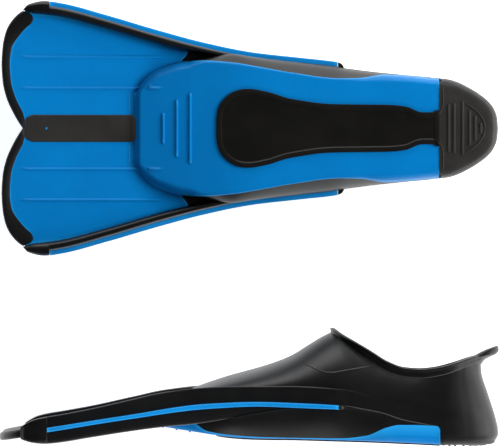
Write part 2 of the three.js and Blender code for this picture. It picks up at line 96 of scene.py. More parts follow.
# ---------------------------------------------------------------- curves along a fin
class Profile:
    """Smooth curve through (station, value) points that never overshoots them."""

    def __init__(self, *points: Pair) -> None:
        """Fits the curve.

        Args:
            points: stations, rising, with the value at each.
        """
        self.x, self.y = np.array(points, float).T
        secant = np.diff(self.y) / np.diff(self.x)
        before, after = secant[:-1], secant[1:]
        total = np.where(before + after == 0, 1.0, before + after)
        inner = np.where(before * after > 0, 2 * before * after / total, 0.0)
        self.slope = np.concatenate([secant[:1], inner, secant[-1:]])

    def __call__(self, station: Number) -> Number:
        """Value at a station; the end values hold beyond the ends."""
        x = np.clip(station, self.x[0], self.x[-1])
        i = np.clip(np.searchsorted(self.x, x, "right") - 1, 0, len(self.x) - 2)
        width = self.x[i + 1] - self.x[i]
        t = (x - self.x[i]) / width
        start = (1 + 2 * t) * (1 - t) ** 2 * self.y[i] + t * (1 - t) ** 2 * width * self.slope[i]
        end = t * t * (3 - 2 * t) * self.y[i + 1] + t * t * (t - 1) * width * self.slope[i + 1]
        return start + end


def smooth(value: Number, start: float, end: float) -> Number:
    """Ramp from 0 at start to 1 at end, level at both."""
    t = np.clip((value - start) / (end - start), 0.0, 1.0)
    return t * t * (3 - 2 * t)


def spaced(start: float, end: float, step: float) -> np.ndarray:
    """Even stations from start to end, no further apart than step."""
    return np.linspace(start, end, max(2, math.ceil(abs(end - start) / step) + 1))


def runs(*spans: Span) -> np.ndarray:
    """Stations of several (start, end, step) spans, one after the other."""
    return np.concatenate([spaced(*span) for span in spans])


def grid_lines(*spans: Span) -> np.ndarray:
    """The same, rising and to the nearest micrometre."""
    return np.unique(np.round(runs(*spans), 3))


def through(points: Sequence[Pair], count: int) -> np.ndarray:
    """Points on a smooth curve through a few given ones.

    Args:
        points: the given (first, second) points, in order.
        count: how many points to return, spread evenly by the given ones' numbers.

    Returns:
        The curve's points in two columns.
    """
    number = np.arange(len(points))
    places = np.linspace(0, number[-1], count)
    return np.column_stack([Profile(*zip(number, column))(places) for column in zip(*points)])


def blade_z(x: Number) -> Number:
    """Height of the blade's mid plane, which climbs towards the heel."""
    return TIP_Z + CLIMB * x


side_half = Profile((20, 102), (25, 107.4), (39.6, 110.6), (54, 108.8), (97, 97.6), (140, 85),
                    (184, 73.3), (227, 64.7), (270, 59.8), (302, 56.2), (313, 53.7), (346, 49.5),
                    (389, 45.6), (400, 45))
rail_inner = Profile((21.5, 106.5), (25, 105.4), (30, 103.6), (39.6, 102.6), (54, 100.6),
                     (97, 89.4), (140, 76.8), (150, 74.1), (184, 66.8), (205, 62.9), (227, 60.2),
                     (248, 57.3), (270, 55.6), (300, 53.4))
rail_top = Profile((21, 19), (25, 21.6), (32, 25.2), (43, 27.9), (54, 29.7), (83, 35.1),
                   (119, 43.2), (148, 49.5), (176, 52.6), (209, 54.2), (261, 54.2), (306, 51.8))
rail_bottom = Profile((21, 8), (25, 6.3), (32, 4.5), (43, 3.6), (54, 4.5), (83, 9), (119, 14.4),
                      (148, 18), (177, 20.7), (200, 24), (230, 30), (262, 34.5), (306, 35.4))
seam_z = Profile((177, 20.7), (200, 24), (230, 30), (262, 34.5), (306, 35.4), (343, 29.7),
                 (373, 21.6), (396, 17.6))
strip_top = Profile((44, 18), (117, 29.2), (186, 38.8), (232, 40.4), (261, 39.5), (289, 38.2),
                    (304, 37.1))
strip_bottom = Profile((44, 14), (117, 25.4), (186, 34.2), (232, 36.2), (261, 35.2), (289, 34),
                       (304, 33.4))
sole_half = Profile((122, 33), (127, 41), (134, 48.5), (143, 54.5), (163, 60.8), (182, 61.2),
                    (209, 59.3), (235, 55), (261, 50.4), (306, 45), (324, 45.4), (347, 48.6),
                    (359, 48.2), (395, 44.9))
sole_z = Profile((122, 21.8), (149, 17.5), (179, 12.9), (209, 8.8), (234, 7.5), (263, 7),
                 (292, 6.1), (335, 4.7), (364, 3.4), (395, 1.8))
sole_edge_z = Profile((122, 29), (143, 32.4), (160, 35), (168, 32.6), (177, 20.7), (186, 14.4),
                      (209, 10.6), (234, 8.8), (263, 8), (306, 7.4), (329, 9.8), (347, 17),
                      (359, 19.4), (375, 19.2), (390, 18.6), (393.4, 17.8), (395.1, 15.6))
sole_lean = Profile((122, 6), (150, 7.5), (165, 6.5), (186, 2.4), (306, 1.8), (347, 5), (395, 4.5))
pad_half = Profile((194.4, 9), (196, 17), (200, 24.5), (207, 31), (215, 34.6), (223, 35.6),
                   (240, 33), (261, 26.8), (300, 21.8), (350, 21.1), (365, 19.6), (380, 14.4),
                   (389, 14.4), (395, 18))
upper_half = Profile((131, 36), (134, 42), (140, 50), (150, 56), (163, 59), (177, 61), (205, 61.6),
                     (227, 59.5), (248, 56.7), (270, 55), (285, 54.8), (300, 54.3), (312, 52.9),
                     (325, 51.5), (340, 50), (365, 47.5), (389, 45.6), (400, 45))
upper_base = Profile((131, 32.2), (140, 34.4), (150, 36.2), (163, 39.4), (177, 45), (190, 49.4),
                     (261, 51.6), (285, 51.8), (300, 51.6), (312, 50.8), (325, 47.4), (340, 42.5),
                     (395, 35))
upper_bottom = Profile((131, 29.5), (140, 31.5), (150, 33), (163, 33.8), (170, 31), (177, 25),
                       (187, 25), (200, 28), (230, 34), (262, 38), (300, 36.6), (308, 35.5),
                       (343, 30), (373, 22.2), (391, 19.2), (394.6, 18), (395.3, 15.6),
                       (396.5, 3.2))
crown_z = Profile((131, 32.6), (134, 34.2), (140, 37.6), (150, 41), (163, 47), (176, 53),
                  (191, 58.5), (205, 63), (234, 71.1), (248, 75.6), (263, 81.9), (277, 90.6),
                  (292, 99.4), (300, 102.5), (306, 102.8), (312, 101.4), (322, 97), (340, 90),
                  (365, 84.2), (395, 80))
rim_low = Profile((300, 101.2), (311, 92.8), (322, 84.3), (340, 72), (352, 65.4), (365, 62),
                  (380, 61.2), (395, 63.4), (408, 67.6), (419, 72.3), (430, 76.3))
rim_high = Profile((300, 106.2), (306, 101.7), (320, 93.6), (335, 84.6), (349, 75.9), (364, 70.4),
                   (378, 69.4), (392, 70.8), (407, 75), (419, 79.4), (430, 82.8))
heel_back = Profile((1, 437), (3.4, 443.4), (6.8, 446.8), (11.5, 448.4), (24, 446), (48.6, 438.3),
                    (66, 433), (74, 432.4))
heel_side = Profile((2.5, 41.2), (6.5, 43.8), (12, 45.2), (30, 45), (45, 43.2), (55, 41),
                    (63, 38.6), (72, 36))


# ---------------------------------------------------------------- meshes
@dataclass
class Skin:
    """Corner points, in a fin's own millimetres, and the faces between them."""

    points: np.ndarray
    faces: list[tuple[int, ...]]

    def mirrored(self) -> "Skin":
        """The same skin on the fin's other side."""
        return Skin(self.points * (1, -1, 1), [face[::-1] for face in self.faces])

    def __add__(self, other: "Skin") -> "Skin":
        """Both skins as one."""
        shift = len(self.points)
        moved = [tuple(i + shift for i in face) for face in other.faces]
        return Skin(np.vstack([self.points, other.points]), self.faces + moved)

    def both_sides(self) -> "Skin":
        """The skin together with its mirror image."""
        return self + self.mirrored()


def loft(rings: Sequence[np.ndarray], looped: bool = False) -> Skin:
    """Skins a row of rings that have the same number of points.

    Args:
        rings: closed rings of points, in order.
        looped: whether the last ring joins the first; otherwise each end is closed by a face.

    Returns:
        The closed skin.
    """
    rows, count = len(rings), len(rings[0])
    faces = []
    for i in range(rows if looped else rows - 1):
        a, b = i * count, (i + 1) % rows * count
        faces += [(a + j, a + (j + 1) % count, b + (j + 1) % count, b + j) for j in range(count)]
    if not looped:
        faces += [tuple(range(count))[::-1], tuple(range((rows - 1) * count, rows * count))]
    return Skin(np.vstack(rings), faces)


def shell(outer: np.ndarray, inner: np.ndarray) -> Skin:
    """Closes the space between two grids of points with walls round their border.

    A wall that would lie in the fin's centre plane is left out, so that a mirrored half can be
    welded on.

    Args:
        outer: points in rows and columns.
        inner: the same grid on the other side of the material.

    Returns:
        The skin of the wall between them.
    """
    rows, columns = outer.shape[:2]
    points = np.vstack([outer.reshape(-1, 3), inner.reshape(-1, 3)])
    shift = rows * columns
    faces = []
    for i in range(rows - 1):
        for j in range(columns - 1):
            a = i * columns + j
            faces.append((a, a + 1, a + columns + 1, a + columns))
            faces.append((a + shift, a + shift + columns, a + shift + columns + 1, a + shift + 1))
    border = list(range(columns))
    border += [i * columns + columns - 1 for i in range(1, rows)]
    border += [(rows - 1) * columns + j for j in range(columns - 2, -1, -1)]
    border += [i * columns for i in range(rows - 2, 0, -1)]
    for a, b in zip(border, border[1:] + border[:1]):
        if max(abs(points[[a, b, a + shift, b + shift], 1])) > ON_CENTRE:
            faces.append((b, a, a + shift, b + shift))
    return Skin(points, faces)


def rounded(corners: Sequence[Pair], radius: float | Sequence[float],
            steps: int = 4) -> np.ndarray:
    """Closed outline with its corners rounded.

    Args:
        corners: the outline's corners in order.
        radius: how far each rounding reaches along the sides, one figure or one for each corner.
        steps: pieces in each rounding.

    Returns:
        The outline's points, steps + 1 for each corner.
    """
    corners = np.asarray(corners, float)
    reaches = np.broadcast_to(radius, len(corners))
    outline = []
    for i, corner in enumerate(corners):
        before, after = corners[i - 1] - corner, corners[(i + 1) % len(corners)] - corner
        lengths = np.linalg.norm(before), np.linalg.norm(after)
        reach = min(reaches[i], *(MOST_REACH * length for length in lengths))
        start, end = corner + before / lengths[0] * reach, corner + after / lengths[1] * reach
        outline += [(1 - t) ** 2 * start + 2 * t * (1 - t) * corner + t * t * end
                    for t in np.linspace(0, 1, steps + 1)]
    return np.array(outline)


def bar(low: Pair, high: Pair, radius: float | Sequence[float],
        steps: int = 4) -> np.ndarray:
    """Rectangle between two opposite corners, with rounded corners."""
    return rounded([low, (high[0], low[1]), high, (low[0], high[1])], radius, steps)


def ring_at(x: float, section: np.ndarray) -> np.ndarray:
    """A (y, z) section set up at station x."""
    return np.column_stack([np.full(len(section), x), section])


def domed(rings: Sequence[np.ndarray], depth: float, both_ends: bool = True) -> list[np.ndarray]:
    """Adds shrinking rings beyond the first ring or both end rings, which rounds those ends off.

    Args:
        rings: the rings in order.
        depth: how far each rounded end reaches.
        both_ends: whether the last end is rounded too.

    Returns:
        The rings with their rounded ends.
    """
    def beyond(end: np.ndarray, before: np.ndarray) -> list[np.ndarray]:
        """Rings beyond one end."""
        centre = end.mean(0)
        along = centre - before.mean(0)
        along /= np.linalg.norm(along)
        return [centre + (end - centre) * math.cos(a) + along * depth * math.sin(a)
                for a in DOME_ANGLES]

    last = beyond(rings[-1], rings[-2]) if both_ends else []
    return [*beyond(rings[0], rings[1])[::-1], *rings, *last]


def bead(path: np.ndarray, radius: float) -> Skin:
    """Thin raised line along a path, tapering at both ends.

    Args:
        path: points along the line.
        radius: half its thickness.

    Returns:
        The closed skin.
    """
    along = np.gradient(path, axis=0)
    along /= np.linalg.norm(along, axis=1, keepdims=True)
    side = np.cross(along, (0.0, 0.0, 1.0))
    side /= np.linalg.norm(side, axis=1, keepdims=True)
    up = np.cross(side, along)
    share = np.linspace(0, 1, len(path))
    size = radius * np.clip(BEAD_TAPER * np.minimum(share, 1 - share), BEAD_TIP, 1)
    turn = np.linspace(0, 2 * math.pi, BEAD_SIDES, endpoint=False)[:, None]
    return loft([place + r * (np.cos(turn) * s + np.sin(turn) * u)
                 for place, r, s, u in zip(path, size, side, up)])


def inset_slab(outline: np.ndarray, steps: Sequence[Pair],
               height: Callable[[np.ndarray], np.ndarray]) -> Skin:
    """Slab whose face is built of copies of its outline, each moved inwards and down.

    Args:
        outline: the (x, y) outline.
        steps: (inset, drop) of each copy, from the slab's upper rim inwards; the last is filled.
        height: the z that drops are measured from, at each x.

    Returns:
        The closed skin.
    """
    tangent = np.roll(outline, -1, 0) - np.roll(outline, 1, 0)
    normal = np.column_stack([-tangent[:, 1], tangent[:, 0]])
    normal /= np.linalg.norm(normal, axis=1, keepdims=True)
    (x, y), (next_x, next_y) = outline.T, np.roll(outline, -1, 0).T
    area = np.sum(x * next_y - next_x * y)
    rings = []
    for inset, drop in steps:
        ring = outline + normal * inset * math.copysign(1, area)
        rings.append(np.column_stack([ring, height(ring[:, 0]) - drop]))
    return loft(rings)


# ---------------------------------------------------------------- shader graphs
class Sock:
    """A value in a shader graph, with the arithmetic that the finishes use."""

    def __init__(self, graph: "Graph", socket: bpy.types.NodeSocket) -> None:
        """Wraps a node's output."""
        self.graph, self.socket = graph, socket

    def _math(self, operation: str, left: "Sock | float", right: "Sock | float") -> "Sock":
        """Adds one Math node."""
        return self.graph.add("ShaderNodeMath", {"operation": operation}, {0: left, 1: right})

    def __add__(self, other: "Sock | float") -> "Sock":
        """Sum."""
        return self._math("ADD", self, other)

    __radd__ = __add__

    def __sub__(self, other: "Sock | float") -> "Sock":
        """Difference."""
        return self._math("SUBTRACT", self, other)

    def __rsub__(self, other: "Sock | float") -> "Sock":
        """Difference from a number."""
        return self._math("SUBTRACT", other, self)

    def __mul__(self, other: "Sock | float") -> "Sock":
        """Product."""
        return self._math("MULTIPLY", self, other)

    __rmul__ = __mul__


class Graph:
    """The nodes of one material."""

    def __init__(self, name: str) -> None:
        """Makes an empty node material with that name."""
        self.material = bpy.data.materials.new(name)
        self.material.use_nodes = True
        self.tree = self.material.node_tree
        self.tree.nodes.clear()

    def add(self, kind: str, settings: dict[str, object], inputs: dict[str | int, object],
            output: str | int = 0) -> Sock | None:
        """Adds a node.

        Args:
            kind: the node's type.
            settings: its properties, set first; "stops" are a ramp's (position, colour) pairs.
            inputs: a value or a Sock for each input, by name or number.
            output: the output that is wanted.

        Returns:
            That output, or None for a node that has none.
        """
        node = self.tree.nodes.new(kind)
        for name, value in settings.items():
            if name == "stops":
                self._set_stops(node.color_ramp.elements, value)
            else:
                setattr(node, name, value)
        for name, value in inputs.items():
            if isinstance(value, Sock):
                self.tree.links.new(value.socket, node.inputs[name])
            else:
                node.inputs[name].default_value = value
        return Sock(self, node.outputs[output]) if node.outputs else None

    @staticmethod
    def _set_stops(elements: bpy.types.ColorRampElements, stops: Sequence[Pair]) -> None:
        """Gives a ramp its grey stops."""
        while len(elements) < len(stops):
            elements.new(0.5)
        for element, (position, grey) in zip(elements, stops):
            element.position, element.color = position, (grey, grey, grey, 1)

    def noise(self, size: float, detail: float = 2.0, rough: float = 0.5) -> Sock:
        """Noise from 0 to 1 with features about size metres across."""
        place = self.add("ShaderNodeTexCoord", {}, {}, "Object")
        return self.add("ShaderNodeTexNoise", {}, {
            "Vector": place, "Scale": 1 / size, "Detail": detail, "Roughness": rough})

    def ramp(self, value: Sock, *stops: tuple[float, float]) -> Sock:
        """A value sent through a grey ramp."""
        return self.add("ShaderNodeValToRGB", {"stops": stops}, {0: value})

    def pointiness(self) -> Sock:
        """How far the surface stands out at a point: about 0.5 where flat, more on an edge."""
        return self.add("ShaderNodeNewGeometry", {}, {}, "Pointiness")

    def mix(self, share: Sock, first: object, second: object) -> Sock:
        """Colour between two; a colour Mix has its factor and colours at sockets 0, 6 and 7."""
        return self.add("ShaderNodeMix", {"data_type": "RGBA"}, {0: share, 6: first, 7: second}, 2)

    def finish(self, color: object, roughness: object, relief: Sock, depth: float,
               fixed: dict[str, object]) -> bpy.types.Material:
        """Ends the graph in a Principled shader with a bump.

        Args:
            color: base colour.
            roughness: a number or a Sock.
            relief: the bump's height.
            depth: the bump's depth in metres.
            fixed: constants for the shader's other sockets.

        Returns:
            The material.
        """
        bump = self.add("ShaderNodeBump", {}, {
            "Strength": 1.0, "Distance": depth, "Height": relief})
        shader = self.add("ShaderNodeBsdfPrincipled", {}, {
            "Base Color": color, "Roughness": roughness, "Normal": bump, **fixed})
        self.add("ShaderNodeOutputMaterial", {}, {"Surface": shader})
        return self.material


def rgb(red: float, green: float, blue: float) -> Color:
    """Scene-linear colour with full opacity."""
    return red, green, blue, 1.0


class Slot(Enum):
    """The record's material slots."""

    BLADE_BLUE = "blade_blue"
    EDGE_STRIP_BLUE = "edge_strip_blue"
    POCKET_RUBBER = "pocket_rubber"
    SOLE_RUBBER = "sole_rubber"


@dataclass(frozen=True)
class Polypropylene:
    """Moulded blue plastic with a satin skin, faint flow marks, and paler edges and rib crests:
    partly edge wear, partly painted highlight.
    """

    name: str
    slot: Slot
    body: Color
    deep: Color
    wear_and_highlight: Color
    roughness: float = 0.4
    cloud_size: float = 0.035
    flow_size: float = 0.006
    grain_size: float = 0.0011
    relief: float = 0.00003
    ior: float = 1.49
    shine: float = 0.16

    def make(self) -> bpy.types.Material:
        """Builds the material."""
        graph = Graph(self.name)
        clouds = graph.noise(self.cloud_size, 3)
        flow = graph.noise(self.flow_size, 4, 0.6)
        grain = graph.noise(self.grain_size, 2)
        depth = graph.ramp(clouds * 0.7 + flow * 0.3, (0.35, 0.0), (0.7, 1.0))
        # Paler where the surface stands out: edge wear, and painted highlight on the rib crests and
        # rims.
        wear_and_highlight_share = graph.ramp(graph.pointiness(), (0.515, 0.0), (0.58, 0.7))
        color = graph.mix(wear_and_highlight_share, graph.mix(depth, self.body, self.deep), self.wear_and_highlight)
        roughness = self.roughness - 0.05 + 0.07 * clouds + 0.06 * flow
        return graph.finish(color, roughness, 0.75 * grain + 0.25 * flow, self.relief,
                            {"IOR": self.ior, "Specular IOR Level": self.shine})


@dataclass(frozen=True)
class Rubber:
    """Moulded thermoplastic rubber: matt grain, cloudy sheen and greyer edges, partly edge wear and
    partly painted highlight.
    """

    name: str
    slot: Slot
    body: Color
    bloom: Color
    wear_and_highlight: Color
    roughness: float
    grain_size: float = 0.0007
    relief: float = 0.00004
    cloud_size: float = 0.028
    speck_size: float = 0.0024
    ior: float = 1.5
    shine: float = 0.4

    def make(self) -> bpy.types.Material:
        """Builds the material."""
        graph = Graph(self.name)
        clouds = graph.noise(self.cloud_size, 4, 0.55)
        specks = graph.noise(self.speck_size, 3, 0.65)
        grain = graph.noise(self.grain_size, 3, 0.6)
        haze = graph.ramp(clouds * 0.75 + specks * 0.25, (0.4, 0.0), (0.68, 1.0))
        # Greyer where the surface stands out: edge wear, and painted highlight on edges and raised
        # lines.
        wear_and_highlight_share = graph.ramp(graph.pointiness(), (0.515, 0.0), (0.60, 0.6))
        color = graph.mix(wear_and_highlight_share, graph.mix(haze, self.body, self.bloom), self.wear_and_highlight)
        roughness = self.roughness - 0.07 + 0.08 * clouds + 0.08 * specks
        return graph.finish(color, roughness, 0.7 * grain + 0.3 * specks, self.relief,
                            {"IOR": self.ior, "Specular IOR Level": self.shine})


BLADE_BLUE = Polypropylene("blade_blue_polypropylene", Slot.BLADE_BLUE, rgb(0.001, 0.2, 0.56),
                           rgb(0.001, 0.178, 0.51), rgb(0.03, 0.42, 0.9))
STRIP_BLUE = Polypropylene("edge_band_blue_polypropylene", Slot.EDGE_STRIP_BLUE,
                           rgb(0.005, 0.235, 0.63), rgb(0.004, 0.205, 0.57), rgb(0.04, 0.4, 0.82),
                           roughness=0.32)
POCKET_RUBBER = Rubber("pocket_black_rubber", Slot.POCKET_RUBBER, rgb(0.0042, 0.0042, 0.0046),
                       rgb(0.0066, 0.0066, 0.0066), rgb(0.02, 0.02, 0.019), roughness=0.38)
PAD_RUBBER = Rubber("pad_black_rubber", Slot.SOLE_RUBBER, rgb(0.0045, 0.0042, 0.0038),
                    rgb(0.0075, 0.007, 0.0062), rgb(0.02, 0.019, 0.0175), roughness=0.42,
                    grain_size=0.0009, relief=0.00006)
# A paler copy of the pad's rubber in the same slot: painted light, for the light that the heel
# bottom catches from the heel side; the middle strip is given it too.
SOLE_RUBBER = Rubber("sole_black_rubber_painted_light", Slot.SOLE_RUBBER, rgb(0.021, 0.0203, 0.0185),
                     rgb(0.031, 0.03, 0.027), rgb(0.05, 0.048, 0.044), roughness=0.55,
                     grain_size=0.0009, relief=0.00006)
# A paler copy of the pocket rubber in the same slot: painted highlight on the raised lines.
PAINTED_HIGHLIGHT_RUBBER = Rubber("painted_highlight_black_rubber", Slot.POCKET_RUBBER, rgb(0.03, 0.03, 0.028),
                     rgb(0.055, 0.055, 0.051), rgb(0.1, 0.1, 0.095), roughness=0.42)
FINISHES = (BLADE_BLUE, STRIP_BLUE, POCKET_RUBBER, PAD_RUBBER, SOLE_RUBBER, PAINTED_HIGHLIGHT_RUBBER)


# ---------------------------------------------------------------- pieces and where they go
class Motion(Enum):
    """What a piece moves with; a piece between blade and pocket is only laid in place, tied to
    neither.
    """

    POCKET = "foot_pocket"
    BLADE = "blade"
    BENDS = "bends between the two"


@dataclass(frozen=True)
class Piece:
    """One visible piece of a fin, and the CAD nodes it stands for."""

    name: str
    skin: Skin
    finish: Polypropylene | Rubber
    motion: Motion
    nodes: tuple[str, ...]
    sharp_deg: float = 38.0
    weld: bool = False


@dataclass(frozen=True)
class Placement:
    """Where one fin lies: its own millimetres to the row frame's metres."""

    side: str
    origin: np.ndarray
    turn: np.ndarray

    @staticmethod
    def _heel_box(side: str) -> list[np.ndarray]:
        """Lowest and highest corner of the fin's CAD heel."""
        return [np.array(corner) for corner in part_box(f"{side}_fin_heel_sole")]

    @classmethod
    def sole_up(cls, side: str) -> "Placement":
        """The fin that lies sole up, from the place of its heel."""
        low, high = cls._heel_box(side)
        origin = np.array([low[0] - HEEL_FROM * MM, (low[1] + high[1]) / 2, high[2]])
        return cls(side, origin, np.diag([1.0, -1.0, -1.0]))

    @classmethod
    def on_edge(cls, side: str) -> "Placement":
        """The fin that stands on its edge, from the place of its heel."""
        low, high = cls._heel_box(side)
        origin = np.array([low[0] - HEEL_FROM * MM, low[1], (low[2] + high[2]) / 2])
        return cls(side, origin, np.array([[1.0, 0, 0], [0, 0, 1.0], [0, -1.0, 0]]))

    def to_row(self, points: np.ndarray) -> np.ndarray:
        """Points of the fin in the row frame."""
        return self.origin + points @ self.turn.T * MM

    def body(self, motion: Motion) -> str:
        """Name of the CAD body for one of the two rigid motions."""
        return f"{self.side}_{motion.value}"

    def lay(self, piece: Piece, material: bpy.types.Material) -> None:
        """Makes the Blender object for a piece of this fin and ties it to the frame.

        Args:
            piece: the piece in the fin's own millimetres.
            material: its finish.
        """
        mesh = bpy.data.meshes.new(f"{self.side}_{piece.name}")
        mesh.from_pydata(self.to_row(piece.skin.points).tolist(), [], piece.skin.faces)
        work = bmesh.new()
        work.from_mesh(mesh)
        if piece.weld:
            bmesh.ops.remove_doubles(work, verts=work.verts, dist=WELD_WITHIN * MM)
        bmesh.ops.recalc_face_normals(work, faces=work.faces)
        work.to_mesh(mesh)
        work.free()
        mesh.materials.append(material)
        mesh.shade_smooth()
        mesh.set_sharp_from_angle(angle=math.radians(piece.sharp_deg))
        obj = bpy.data.objects.new(mesh.name, mesh)
        bpy.context.scene.collection.objects.link(obj)
        if piece.motion is Motion.BENDS:
            start, end = self.to_row(np.array([[BEND_FROM, 0, 0], [BEND_TO, 0, 0]]))
            self.body(Motion.BLADE)
            self.body(Motion.POCKET)
            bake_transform(obj)
        else:
            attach(obj, self.body(piece.motion))
        if piece.nodes:
            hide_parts(*(f"{self.side}_fin_{node}" for node in piece.nodes))
        LOG.info("%s: %d faces", obj.name, len(mesh.polygons))


def both(name: str) -> tuple[str, str]:
    """A paired node's two names."""
    return f"outer_{name}", f"inner_{name}"


def paired(name: str, skin: Skin, finish: Polypropylene | Rubber, motion: Motion,
           *nodes: str) -> list[Piece]:
    """A piece of a fin's outer side, and its mirror image on the inner side.

    Args:
        name: the pieces' name without its outer_ or inner_.
        skin: the outer piece.
        finish: the finish of both.
        motion: what both move with.
        nodes: the CAD nodes they stand for, without outer_ or inner_.

    Returns:
        The outer piece and the inner one.
    """
    return [Piece(f"{side}_{name}", half, finish, motion, tuple(f"{side}_{node}" for node in nodes))
            for side, half in (("outer", skin), ("inner", skin.mirrored()))]


# ---------------------------------------------------------------- blade
@dataclass(frozen=True)
class Blade:
    """Blue blade with its ribs, the rubber strip down its middle and the guard round its tip."""

    thickness: float = 2.6
    rib_spans: Pair = (36.5, 64.4)
    rib_ends: Pair = (134.0, 148.0)
    rib_from: float = 16.5
    rib_rise: float = 9.0
    rib_depth: float = 1.15
    rib_half: float = 0.85
    rib_zone: float = 2.2
    straight_to: float = 68.0
    under_guard: float = 1.3
    under_rail: float = 1.2
    first_guess: Pair = (24.0, 160.0)  # of a line's two ends, which then settle in a few rounds
    rounds: int = 12
    strip_from: float = 23.0
    strip_to: float = 122.0
    strip_swell: float = 2.2
    strip_half: float = 12.3
    strip_thickness: float = 4.6
    peg_x: float = 41.4
    peg_reach: float = 2.2
    peg_dome: float = 0.35
    guard_low: tuple[float, ...] = (-2.0, -3.9, -3.3, -1.9)  # its underside, from outer edge in
    guard_rings: int = 90
    crease_x: float = 115.6
    crease_span: Pair = (13.5, 34.5)
    tip_outer: Line = (
        (20, -0.1), (15.3, 7.2), (10.4, 16.2), (5.5, 27.5), (2.2, 42), (1.2, 58), (2.2, 74),
        (5, 87), (9, 95), (13.5, 100.6), (17.5, 104.2), (20.4, 106))
    tip_inner: Line = (
        (22.6, -0.1), (22.4, 6), (21, 12.6), (14, 27.5), (9.9, 42), (8.8, 58), (10.4, 72),
        (17.2, 83.4), (23.4, 90.4), (28, 94.6), (29.8, 99), (27, 103.4))
    outer_corner: Line = ((100, 24.6), (107.6, 21.2))
    rear_edge: Profile = field(default_factory=lambda: Profile(
        (0, 150), (52, 150), (58, 160), (61.4, 163.2), (66.6, 167.6), (69, 168.8), (71.5, 167)))

    def rib_height(self, x: np.ndarray, y: np.ndarray) -> np.ndarray:
        """How far the ribs stand out of the underside at each point."""
        total = np.zeros_like(x)
        for span, end in zip(self.rib_spans, self.rib_ends):
            ridge = 1 - smooth(np.abs(np.abs(y) - span), self.rib_half * 0.45, self.rib_half * 1.7)
            rise = smooth(x, self.rib_from, self.rib_from + self.rib_rise)
            total += ridge * rise * (1 - smooth(x, end - 7, end))
        return total * self.rib_depth

    def plate(self) -> Skin:
        """The whole blue plate, from under the tip guard to the corners beside the toe box."""
        (inner, outer), zone = self.rib_spans, self.rib_zone
        clear = zone + 0.4
        columns = grid_lines(
            (0, inner - clear, 4), (inner - zone, inner + zone, 0.32),
            (inner + clear, outer - clear, 4), (outer - zone, outer + zone, 0.32))
        lines = [(y, 0.0) for y in columns]
        lines += [(self.straight_to, share) for share in np.linspace(0, 1, 12)]
        tip_x = Profile(*((y, x - self.under_guard) for x, y in self.tip_inner[:-2]),
                        *self.outer_corner)
        steps = np.concatenate([np.linspace(0, 0.06, 5)[:-1], np.linspace(0.06, 0.94, 72),
                                np.linspace(0.94, 1, 6)[1:]])

        def across(x: Number, y: float, share: float) -> Number:
            """How far out a line runs at x: at y, or a share of the way from there to the rail."""
            return y + share * (rail_inner(x) + self.under_rail - y)

        half = []
        for line in lines:
            start, end = self.first_guess
            for _ in range(self.rounds):
                start, end = tip_x(across(start, *line)), self.rear_edge(across(end, *line))
            x = start + (end - start) * steps
            half.append(np.column_stack([x, across(x, *line)]))
        full = [line * (1, -1) for line in half[:0:-1]] + half
        plan = np.array(full).transpose(1, 0, 2)
        x, y = plan[..., 0], plan[..., 1]
        mid = blade_z(x)
        low = np.dstack([x, y, mid - self.thickness / 2 - self.rib_height(x, y)])
        step = spaced(*self.crease_span, 1.2)
        level = float(blade_z(self.crease_x)) - self.thickness / 2
        line = np.column_stack([np.full(len(step), self.crease_x), step, np.full(len(step), level)])
        high = np.dstack([x, y, mid + self.thickness / 2])
        return shell(low, high) + bead(line, 0.5).both_sides()

    def strip(self) -> Skin:
        """The rubber strip between the two lobes."""
        front, rear, full = self.strip_from, self.strip_to, self.strip_half
        half = Profile((front, 7.5), (front + 1.5, 10.2), (front + 8, full), (rear - 4.5, full),
                       (rear - 1.6, full - 1.3), (rear - 0.4, full - 3), (rear, full - 4.6))
        thick = self.strip_thickness / 2
        stations = runs((front, 31, 0.8), (33, rear - 5, 2.5), (rear - 4.5, rear, 0.4))

        def section(x: float) -> np.ndarray:
            """Rounded band lying on the blade's mid plane, which swells at its rear end."""
            w, z = half(x), blade_z(x)
            low = z - thick - self.strip_swell * smooth(x, rear - 7, rear - 0.8)
            return bar((-w, low), (w, z + thick), 1.1)

        return loft([ring_at(x, section(x)) for x in stations])

    def peg(self) -> Skin:
        """The small blue moulding peg that shows in the strip."""
        turn = np.linspace(0, 2 * math.pi, 20, endpoint=False)
        circle = np.column_stack([np.cos(turn), np.sin(turn), np.zeros_like(turn)])
        place = np.array([self.peg_x, 0, blade_z(self.peg_x)])
        rings = [circle + place + (0, 0, rise) for rise in (self.peg_reach, -self.peg_reach)]
        return loft(domed(rings, self.peg_dome))

    def tip_guard(self) -> Skin:
        """The rubber band round both lobes' tips."""
        edge, low, middle, inside = self.guard_low
        edges = [through(line, self.guard_rings) for line in (self.tip_outer, self.tip_inner)]
        rings = []
        for outer, inner in zip(*edges):
            width = np.linalg.norm(inner - outer)
            under = [(0, edge), (1.6, low), (0.55 * width, middle), (width, inside)]
            band = rounded(under + [(reach, -z) for reach, z in under[::-1]], 0.9, 3)
            place = outer + np.outer(band[:, 0] / width, inner - outer)
            rings.append(np.column_stack([place, blade_z(place[:, 0]) + band[:, 1]]))
        return loft(rings).both_sides()

    def pieces(self) -> list[Piece]:
        """The blade's visible pieces."""
        return [
            Piece("blade_plate", self.plate(), BLADE_BLUE, Motion.BENDS,
                  (*both("lobe"), "blade_root")),
            Piece("middle_strip", self.strip(), SOLE_RUBBER, Motion.BENDS, ("center_strip",)),
            Piece("peg_end", self.peg(), BLADE_BLUE, Motion.BLADE, ("strip_peg",)),
            Piece("tip_guard", self.tip_guard(), POCKET_RUBBER, Motion.BLADE, both("tip_bumper")),
        ]


